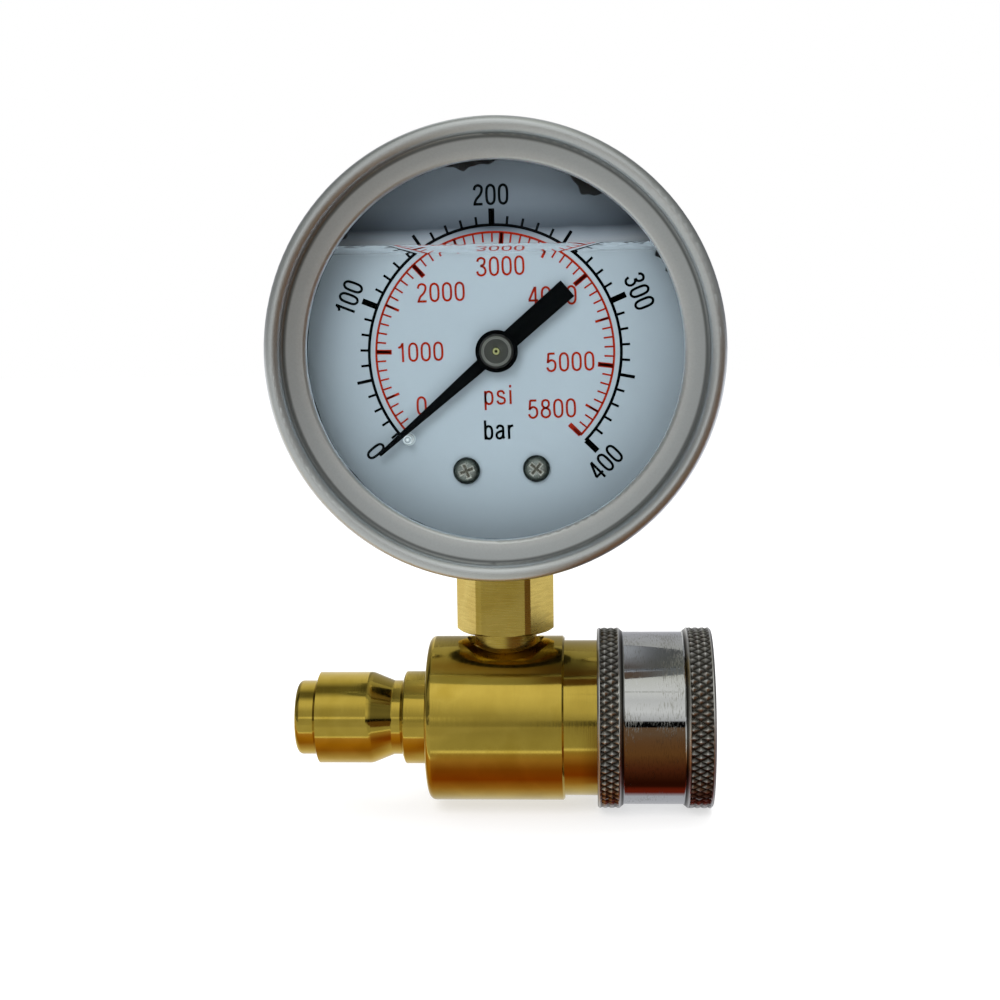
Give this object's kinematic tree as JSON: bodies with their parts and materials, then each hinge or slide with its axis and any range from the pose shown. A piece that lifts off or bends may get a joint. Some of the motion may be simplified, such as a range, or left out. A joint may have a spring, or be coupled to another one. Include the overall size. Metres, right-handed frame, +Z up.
{
  "type": "inline pressure gauge",
  "caption": "Liquid filled dial pressure gauge on a turned brass tee with a quick plug at one end and a ball lock socket with a sliding sleeve at the other.",
  "frame": {"origin": "on the flow axis, at the middle of the plug's straight land", "axes": "+X along the flow axis from the plug to the socket, +Z up to the gauge, -Y towards the viewer of the dial"},
  "size_m": [0.068, 0.037, 0.108],
  "materials": {
    "polished_brass": "turned and polished",
    "stem_brass": "milled",
    "movement_brass": "satin",
    "satin_steel": "brushed",
    "plated_steel": "bright plated",
    "spring_steel": "drawn",
    "bronze": "drawn",
    "lens_glass": "polished",
    "black_rubber": "moulded",
    "dial_white": "printed enamel",
    "pointer_black": "satin enamel",
    "cap_grey": "turned"
  },
  "bodies": {
    "gauge": {"tee_body": "polished_brass", "socket_seal": "black_rubber", "snap_ring": "spring_steel", "sleeve_spring": "spring_steel", "stem_block": "stem_brass", "stem_seal": "black_rubber", "case": "satin_steel", "case_screws": "plated_steel", "filler_plug": "black_rubber", "lens": "lens_glass", "lens_gasket": "black_rubber", "bezel_ring": "satin_steel", "dial_plate": "dial_white", "dial_screws": "plated_steel", "dial_posts": "movement_brass", "stop_pin": "movement_brass", "front_plate": "movement_brass", "rear_plate": "movement_brass", "pillars": "movement_brass", "plate_screws": "plated_steel", "mounting_screws": "plated_steel", "bourdon_tube": "bronze", "hairspring": "bronze", "hairspring_stud": "movement_brass"},
    "sector": {"sector_gear": "movement_brass", "sector_arbor": "spring_steel", "sector_pin": "spring_steel"},
    "link": {"link_rod": "movement_brass"},
    "tube_end": {"tube_tip": "movement_brass", "tip_pin": "spring_steel"},
    "pointer": {"pointer": "pointer_black", "pointer_cap": "cap_grey", "pinion_arbor": "spring_steel"},
    "sleeve": {"release_sleeve": "plated_steel"},
    "ball_1": {"locking_ball_1": "plated_steel"},
    "ball_2": {"locking_ball_2": "plated_steel"},
    "ball_3": {"locking_ball_3": "plated_steel"},
    "ball_4": {"locking_ball_4": "plated_steel"},
    "ball_5": {"locking_ball_5": "plated_steel"},
    "ball_6": {"locking_ball_6": "plated_steel"}
  },
  "joints": [
    {"name": "sector_swing", "type": "hinge", "parent": "gauge", "child": "sector", "pos_m": [0.0261, 0, 0.0463], "axis": [0, -1, 0], "range_deg": [0, 26.43], "stiffness_Nm_per_rad": 0.01, "springref_deg": -5.73},
    {"name": "pointer_turn", "type": "hinge", "parent": "gauge", "child": "pointer", "pos_m": [0.0261, 0, 0.0595], "axis": [0, 1, 0], "range_deg": [0, 264.35], "deforming": ["hairspring"]},
    {"name": "link_swing", "type": "hinge", "parent": "sector", "child": "link", "pos_m": [0.02693, -0.0059, 0.03935], "axis": [0, -1, 0], "range_deg": [-26.44, 0]},
    {"name": "tube_travel", "type": "slide", "parent": "gauge", "child": "tube_end", "axis": [0.9397, 0, 0.342], "range_m": [0, 0.0032], "deforming": ["bourdon_tube"]},
    {"name": "sleeve_slide", "type": "slide", "parent": "gauge", "child": "sleeve", "axis": [-1, 0, 0], "range_m": [0, 0.0036], "stiffness_N_per_m": 2000, "springref_m": -0.003, "deforming": ["sleeve_spring"]},
    {"name": "ball_1_slide", "type": "slide", "parent": "gauge", "child": "ball_1", "axis": [0, 1, 0], "range_m": [0, 0.0014]},
    {"name": "ball_2_slide", "type": "slide", "parent": "gauge", "child": "ball_2", "axis": [0, 0.5, 0.866], "range_m": [0, 0.0014]},
    {"name": "ball_3_slide", "type": "slide", "parent": "gauge", "child": "ball_3", "axis": [0, -0.5, 0.866], "range_m": [0, 0.0014]},
    {"name": "ball_4_slide", "type": "slide", "parent": "gauge", "child": "ball_4", "axis": [0, -1, 0], "range_m": [0, 0.0014]},
    {"name": "ball_5_slide", "type": "slide", "parent": "gauge", "child": "ball_5", "axis": [0, -0.5, -0.866], "range_m": [0, 0.0014]},
    {"name": "ball_6_slide", "type": "slide", "parent": "gauge", "child": "ball_6", "axis": [0, 0.5, -0.866], "range_m": [0, 0.0014]}
  ],
  "couplings": [
    {"joint": "pointer_turn", "follows": "sector_swing", "ratio": 10},
    {"joint": "link_swing", "follows": "sector_swing", "ratio": -1},
    {"joint": "tube_travel", "follows": "sector_swing", "m_per_rad": 0.0069381},
    {"joint": "ball_1_slide", "follows": "sleeve_slide", "ratio": 0.38889},
    {"joint": "ball_2_slide", "follows": "sleeve_slide", "ratio": 0.38889},
    {"joint": "ball_3_slide", "follows": "sleeve_slide", "ratio": 0.38889},
    {"joint": "ball_4_slide", "follows": "sleeve_slide", "ratio": 0.38889},
    {"joint": "ball_5_slide", "follows": "sleeve_slide", "ratio": 0.38889},
    {"joint": "ball_6_slide", "follows": "sleeve_slide", "ratio": 0.38889}
  ]
}
